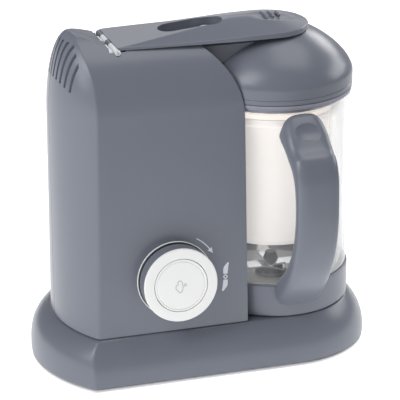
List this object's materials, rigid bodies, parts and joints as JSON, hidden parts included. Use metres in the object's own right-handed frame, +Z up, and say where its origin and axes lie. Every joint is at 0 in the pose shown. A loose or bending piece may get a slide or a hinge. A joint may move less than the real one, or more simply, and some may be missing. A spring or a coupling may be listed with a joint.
{
  "type": "baby food maker",
  "caption": "Countertop steamer-blender with a boiler tower, turn-and-press knob, clear jug with basket and blades, domed lid and locking lever.",
  "frame": {"origin": "centre of the flat underside, on the plane that splits front from rear", "axes": "+Z up, +X from the boiler tower towards the jug, -Y towards the user"},
  "size_m": [0.2663, 0.1738, 0.2648],
  "materials": {
    "shell_grey": "satin moulded",
    "knob_white": "satin moulded",
    "plate_pale": "satin moulded",
    "inner_dark": "matt moulded",
    "basket_cream": "satin moulded",
    "jar_clear": "clear polymer",
    "steel": "brushed",
    "rubber_dark": "matt",
    "seal_pale": "matt silicone",
    "board_green": "matt laminate"
  },
  "bodies": {
    "housing": {"base_plate": "plate_pale", "base_feet": "rubber_dark", "base_screws": "steel", "base_housing": "shell_grey", "bowl_seat": "inner_dark", "cord_gland": "rubber_dark", "front_shell": "shell_grey", "rear_shell": "shell_grey", "hinge_knuckle": "plate_pale", "lever_pin": "steel", "boiler_cup": "steel", "boiler_gasket": "rubber_dark", "heater_plate": "steel", "thermostat": "inner_dark", "control_board": "board_green", "rotary_switch": "inner_dark", "lid_switch": "inner_dark", "motor_can": "steel", "motor_bracket": "inner_dark", "drive_belt": "rubber_dark", "knob_bezel": "knob_white"},
    "lever": {"lever_arm": "shell_grey", "lever_grip": "shell_grey"},
    "lid": {"lid_dome": "shell_grey", "lid_seal": "seal_pale", "neck_seal": "rubber_dark", "steam_valve": "plate_pale"},
    "lock": {"lock_ring": "inner_dark"},
    "jug": {"jar": "jar_clear", "jar_collar": "shell_grey", "handle": "shell_grey", "handle_insert": "inner_dark", "blade_nut": "inner_dark", "blade_bearing": "inner_dark"},
    "basket": {"steam_basket": "basket_cream"},
    "blades": {"blade_shaft": "steel", "blade_dog": "inner_dark", "blade_lower": "steel", "blade_upper": "steel", "blade_cap": "inner_dark"},
    "motor": {"motor_rotor": "steel", "motor_pulley": "plate_pale"},
    "spindle": {"drive_shaft": "steel", "drive_pulley": "plate_pale", "drive_dog": "inner_dark"},
    "knob": {"knob_drum": "shell_grey", "knob_ring": "knob_white", "knob_shaft": "inner_dark"},
    "button": {"knob_button": "knob_white"}
  },
  "joints": [
    {"name": "lever_hinge", "type": "hinge", "parent": "housing", "child": "lever", "pos_m": [-0.0715, 0, 0.2522], "axis": [0, -1, 0], "range_deg": [0, 95]},
    {"name": "lid_lift", "type": "slide", "parent": "housing", "child": "lid", "axis": [0, 0, 1], "range_m": [0, 0.045]},
    {"name": "jug_turn", "type": "hinge", "parent": "housing", "child": "lock", "pos_m": [0.059, 0, 0.03], "axis": [0, 0, 1], "range_deg": [0, 30]},
    {"name": "jug_lift", "type": "slide", "parent": "lock", "child": "jug", "axis": [0, 0, 1], "range_m": [0, 0.016]},
    {"name": "basket_lift", "type": "slide", "parent": "jug", "child": "basket", "axis": [0, 0, 1], "range_m": [0, 0.016]},
    {"name": "motor_spin", "type": "hinge", "parent": "housing", "child": "motor", "pos_m": [-0.05, 0, 0.06], "axis": [0, 0, 1], "continuous": true},
    {"name": "spindle_spin", "type": "hinge", "parent": "housing", "child": "spindle", "pos_m": [0.059, 0, 0.02], "axis": [0, 0, 1], "continuous": true},
    {"name": "blade_spin", "type": "hinge", "parent": "jug", "child": "blades", "pos_m": [0.059, 0, 0.05], "axis": [0, 0, 1], "continuous": true},
    {"name": "knob_turn", "type": "hinge", "parent": "housing", "child": "knob", "pos_m": [-0.0372, -0.05616, 0.0797], "axis": [0, 0.9982, -0.0602], "range_deg": [0, 40], "stiffness_Nm_per_rad": 0.15},
    {"name": "button_press", "type": "slide", "parent": "knob", "child": "button", "axis": [0, 0.9982, -0.0602], "range_m": [0, 0.002], "stiffness_N_per_m": 250, "springref_m": -0.001}
  ],
  "couplings": [
    {"joint": "lid_lift", "follows": "lever_hinge", "m_per_rad": 0.024},
    {"joint": "jug_lift", "follows": "lever_hinge", "m_per_rad": 0.009},
    {"joint": "basket_lift", "follows": "lever_hinge", "m_per_rad": 0.009},
    {"joint": "spindle_spin", "follows": "motor_spin", "ratio": 0.5},
    {"joint": "blade_spin", "follows": "motor_spin", "ratio": 0.5}
  ]
}
